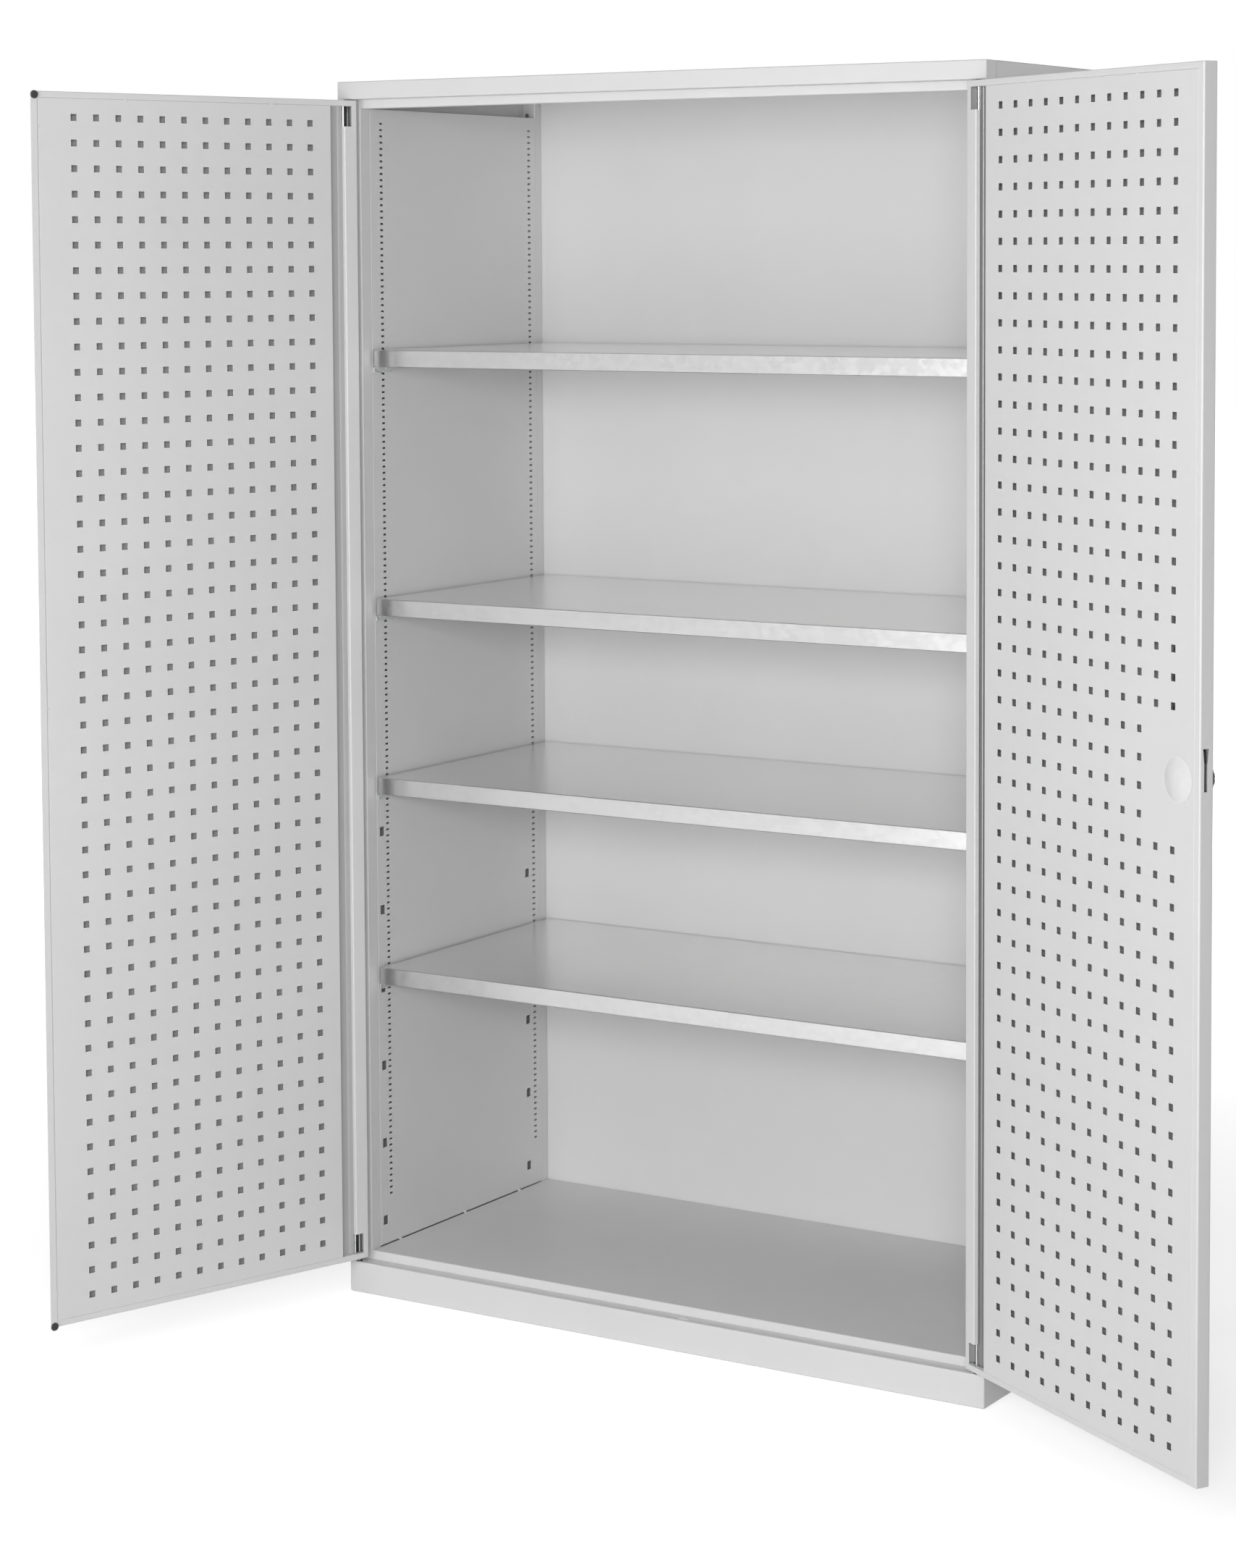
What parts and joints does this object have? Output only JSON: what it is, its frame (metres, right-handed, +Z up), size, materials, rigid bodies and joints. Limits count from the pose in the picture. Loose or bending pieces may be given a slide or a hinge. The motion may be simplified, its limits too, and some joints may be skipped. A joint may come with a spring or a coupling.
{
  "type": "storage cabinet",
  "caption": "Tall two-door sheet steel storage cabinet on a plinth, with perforated tool panels inside the doors, adjustable shelves and a rod lock.",
  "frame": {"origin": "centre of the case's footprint at floor level", "axes": "+Z up, -Y towards the door side, +X towards the right-hand door seen from the front"},
  "size_m": [1.7929, 1.0898, 1.95],
  "materials": {
    "light_grey_paint": "satin light grey powder coat",
    "galvanised_steel": "galvanised sheet, faint spangle",
    "zinc_hardware": "bright zinc plated",
    "nylon_bush": "black nylon",
    "black_rubber": "black rubber",
    "pale_plastic": "pale grey moulded plastic",
    "dark_plastic": "dark grey moulded plastic",
    "nickel_cylinder": "nickel plated"
  },
  "bodies": {
    "cabinet": {"plinth_frame": "light_grey_paint", "floor_panel": "light_grey_paint", "floor_lip": "light_grey_paint", "floor_flanges": "light_grey_paint", "header_rail": "light_grey_paint", "roof_panel": "light_grey_paint", "back_panel": "light_grey_paint", "side_panel_left": "light_grey_paint", "side_panel_right": "light_grey_paint", "front_post_left": "light_grey_paint", "front_post_right": "light_grey_paint", "rear_post_left": "light_grey_paint", "rear_post_right": "light_grey_paint", "side_lining_left": "light_grey_paint", "side_lining_right": "light_grey_paint", "hinge_bushes": "nylon_bush", "shelf_1": "galvanised_steel", "shelf_2": "galvanised_steel", "shelf_3": "galvanised_steel", "shelf_4": "galvanised_steel", "shelf_clips_1": "zinc_hardware", "shelf_clips_2": "zinc_hardware", "shelf_clips_3": "zinc_hardware", "shelf_clips_4": "zinc_hardware"},
    "left_door": {"left_door_tray": "light_grey_paint", "left_tool_panel": "light_grey_paint", "left_stop_strip": "light_grey_paint", "left_door_buffers": "black_rubber", "left_hinge_pins": "zinc_hardware", "left_pin_brackets": "zinc_hardware"},
    "right_door": {"right_door_tray": "light_grey_paint", "right_tool_panel": "light_grey_paint", "right_hinge_pins": "zinc_hardware", "right_pin_brackets": "zinc_hardware", "lock_case": "zinc_hardware", "lock_cover_cap": "pale_plastic", "rod_guides": "zinc_hardware", "handle_rosette": "dark_plastic"},
    "handle": {"rotary_handle": "dark_plastic", "handle_spindle": "zinc_hardware", "crank_plate": "zinc_hardware"},
    "key_cylinder": {"key_cylinder": "nickel_cylinder"},
    "upper_rod": {"upper_rod": "zinc_hardware"},
    "lower_rod": {"lower_rod": "zinc_hardware"},
    "side_latch": {"side_latch": "zinc_hardware"}
  },
  "joints": [
    {"name": "left_door_hinge", "type": "hinge", "parent": "cabinet", "child": "left_door", "pos_m": [-0.5605, -0.269, 0.989], "axis": [0, 0, -1], "range_deg": [-109, 71]},
    {"name": "right_door_hinge", "type": "hinge", "parent": "cabinet", "child": "right_door", "pos_m": [0.5605, -0.269, 0.989], "axis": [0, 0, 1], "range_deg": [-149.4, 30.6]},
    {"name": "handle_turn", "type": "hinge", "parent": "right_door", "child": "handle", "pos_m": [1.00034, -0.52912, 0.9895], "axis": [0.509, 0.8607, 0], "range_deg": [0, 50]},
    {"name": "key_turn", "type": "hinge", "parent": "handle", "child": "key_cylinder", "pos_m": [1.01052, -0.51191, 0.9895], "axis": [0.509, 0.8607, 0], "range_deg": [0, 90]},
    {"name": "upper_rod_slide", "type": "slide", "parent": "right_door", "child": "upper_rod", "axis": [0, 0, 1], "range_m": [0, 0.0186]},
    {"name": "lower_rod_slide", "type": "slide", "parent": "right_door", "child": "lower_rod", "axis": [0, 0, -1], "range_m": [0, 0.0186]},
    {"name": "side_latch_slide", "type": "slide", "parent": "right_door", "child": "side_latch", "axis": [0.8607, -0.509, 0], "range_m": [0, 0.012]}
  ],
  "couplings": [
    {"joint": "handle_turn", "follows": "upper_rod_slide", "rad_per_m": 46.929},
    {"joint": "lower_rod_slide", "follows": "upper_rod_slide", "ratio": 1},
    {"joint": "side_latch_slide", "follows": "upper_rod_slide", "ratio": 0.64533}
  ]
}
